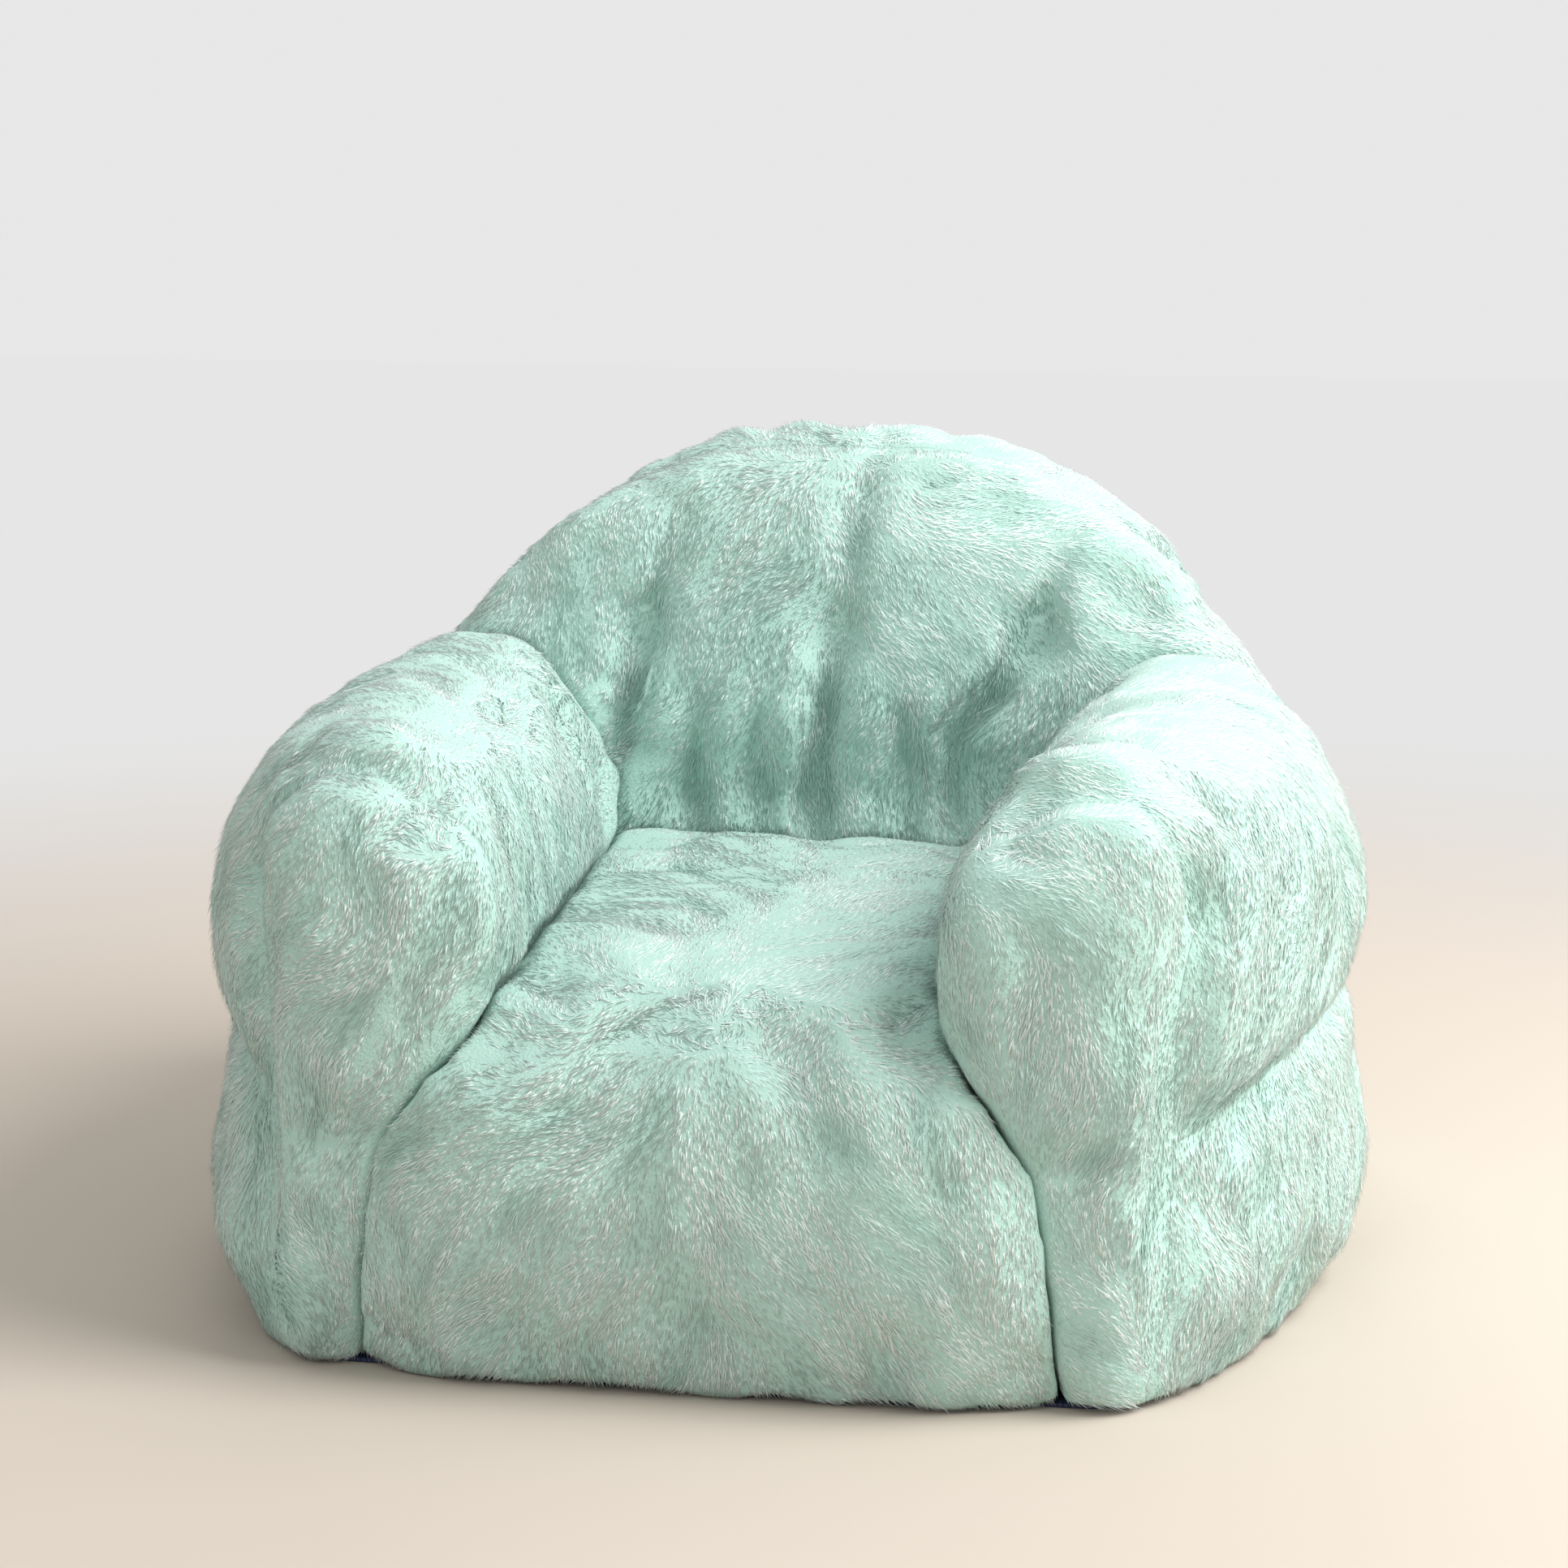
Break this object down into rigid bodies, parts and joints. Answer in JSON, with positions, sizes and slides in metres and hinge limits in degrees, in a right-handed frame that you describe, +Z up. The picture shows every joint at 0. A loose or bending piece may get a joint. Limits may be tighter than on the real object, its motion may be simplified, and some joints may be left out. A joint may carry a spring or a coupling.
{
  "type": "bean bag chair",
  "caption": "Low stuffed armchair in mint pile fabric with rounded arms, a tufted domed back and a seat that runs down to the floor.",
  "frame": {"origin": "centre of the outer box, on the floor", "axes": "+Z up, the chair faces -Y, +X is to the right of someone looking at its front"},
  "size_m": [0.941, 0.8635, 0.65],
  "materials": {
    "pile": "brushed short pile",
    "base_cloth": "plain non-slip weave",
    "liner_cloth": "plain non-woven",
    "foam": "open foam",
    "cord": "twisted",
    "disc": "matte",
    "zip_tape": "woven",
    "zip_coil": "satin",
    "zip_metal": "satin nickel"
  },
  "bodies": {
    "chair": {"seat_panel": "pile", "inner_back_panel": "pile", "outer_back_panel": "pile", "rear_band": "pile", "left_arm_roll": "pile", "left_arm_front": "pile", "left_side_band": "pile", "right_arm_roll": "pile", "right_arm_front": "pile", "right_side_band": "pile", "base_panel": "base_cloth", "seat_liner": "liner_cloth", "back_liner": "liner_cloth", "left_arm_liner": "liner_cloth", "right_arm_liner": "liner_cloth", "seat_fill": "foam", "back_fill": "foam", "left_arm_fill": "foam", "right_arm_fill": "foam", "tuft_ties": "cord", "tuft_front_discs": "disc", "tuft_rear_discs": "disc", "zip_tape_upper": "zip_tape", "zip_tape_lower": "zip_tape", "zip_coil_upper": "zip_coil", "zip_coil_lower": "zip_coil", "zip_bottom_stop": "zip_metal", "zip_top_stops": "zip_metal"},
    "slider": {"zip_slider": "zip_metal"},
    "pull": {"zip_pull": "zip_metal"}
  },
  "joints": [
    {"name": "zip_slide", "type": "slide", "parent": "chair", "child": "slider", "axis": [-1, 0, 0], "range_m": [0, 0.38]},
    {"name": "pull_swing", "type": "hinge", "parent": "slider", "child": "pull", "pos_m": [0.19, 0.4144, 0.205], "axis": [0, 0, -1], "range_deg": [0, 180]}
  ]
}
